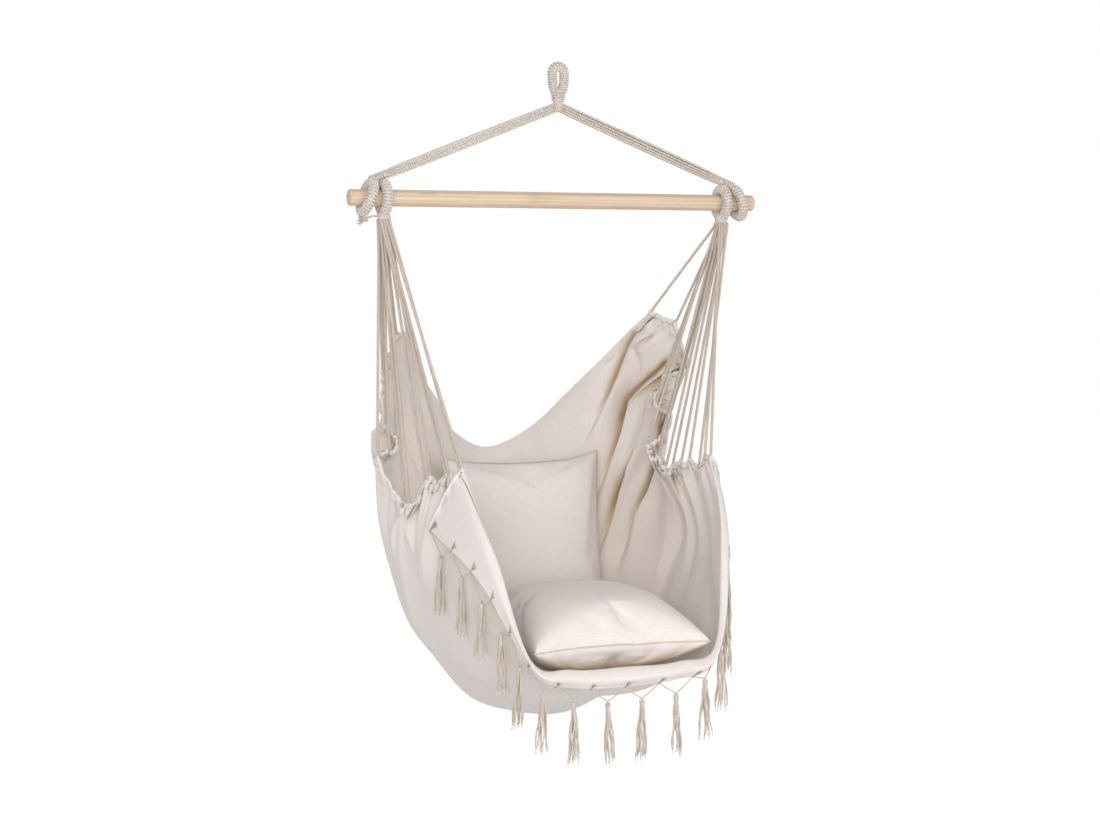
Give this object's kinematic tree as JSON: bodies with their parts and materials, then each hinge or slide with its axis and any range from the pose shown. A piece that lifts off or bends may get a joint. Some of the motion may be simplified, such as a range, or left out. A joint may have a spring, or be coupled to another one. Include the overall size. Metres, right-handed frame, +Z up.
{
  "type": "hammock chair",
  "caption": "Hanging fabric hammock chair on a wooden spreader bar, with fringed front edge and two loose cushions.",
  "frame": {"origin": "where a hook bears inside the top of the hanging loop", "axes": "+Z up, -Y the way the seat faces, +X towards the sitter's left-hand end of the spreader bar"},
  "size_m": [0.96, 0.8477, 1.4833],
  "materials": {
    "wood": "satin",
    "rope": "matte",
    "winding": "matte",
    "cord": "matte",
    "cloth": "matte",
    "cushion": "matte",
    "fringe": "matte"
  },
  "bodies": {
    "loop": {"hanging_loop": "rope", "hanging_loop_winding": "winding"},
    "neck": {"neck_winding": "winding"},
    "apex": {"apex_knot": "rope"},
    "suspension": {"suspension_rope_right": "rope", "suspension_rope_left": "rope", "suspension_ring_right": "rope", "suspension_ring_right_winding": "winding", "suspension_ring_left": "rope", "suspension_ring_left_winding": "winding"},
    "bar": {"spreader_bar": "wood"},
    "seat": {"seat_ring_right": "rope", "seat_ring_right_winding": "winding", "seat_ring_left": "rope", "seat_ring_left_winding": "winding", "seat_cloth": "cloth", "seat_cord_right_1": "cord", "seat_cord_right_2": "cord", "seat_cord_right_3": "cord", "seat_cord_right_4": "cord", "seat_cord_right_5": "cord", "seat_cord_right_6": "cord", "seat_cord_right_7": "cord", "seat_cord_right_8": "cord", "seat_cord_left_1": "cord", "seat_cord_left_2": "cord", "seat_cord_left_3": "cord", "seat_cord_left_4": "cord", "seat_cord_left_5": "cord", "seat_cord_left_6": "cord", "seat_cord_left_7": "cord", "seat_cord_left_8": "cord", "cord_tail": "cord", "fringe_header": "fringe", "tassel_1": "fringe", "tassel_2": "fringe", "tassel_3": "fringe", "tassel_4": "fringe", "tassel_5": "fringe", "tassel_6": "fringe", "tassel_7": "fringe", "tassel_8": "fringe", "tassel_9": "fringe", "tassel_10": "fringe", "tassel_11": "fringe", "tassel_12": "fringe", "tassel_13": "fringe", "tassel_14": "fringe", "tassel_15": "fringe", "tassel_16": "fringe"},
    "seat_pillow": {"seat_cushion": "cushion"},
    "back_pillow": {"back_cushion": "cushion"}
  },
  "joints": [
    {"name": "chair_turn", "type": "hinge", "parent": "loop", "child": "neck", "pos_m": [0, 0, 0], "axis": [0, 0, 1], "range_deg": [-180, 180]},
    {"name": "chair_sway", "type": "hinge", "parent": "neck", "child": "apex", "pos_m": [0, 0, -0.0773], "axis": [0, 1, 0], "range_deg": [-12, 12]},
    {"name": "chair_swing", "type": "hinge", "parent": "apex", "child": "suspension", "pos_m": [0, 0, -0.0773], "axis": [1, 0, 0], "range_deg": [-30, 30]},
    {"name": "bar_roll", "type": "hinge", "parent": "suspension", "child": "bar", "pos_m": [0, 0, -0.283], "axis": [1, 0, 0], "continuous": true},
    {"name": "seat_tilt", "type": "hinge", "parent": "suspension", "child": "seat", "pos_m": [0, 0, -0.283], "axis": [1, 0, 0], "range_deg": [-25, 25]},
    {"name": "seat_cushion_lift", "type": "slide", "parent": "seat", "child": "seat_pillow", "axis": [0, 0, 1], "range_m": [0, 0.25]},
    {"name": "back_cushion_lift", "type": "slide", "parent": "seat", "child": "back_pillow", "axis": [0, 0, 1], "range_m": [0, 0.2]}
  ]
}
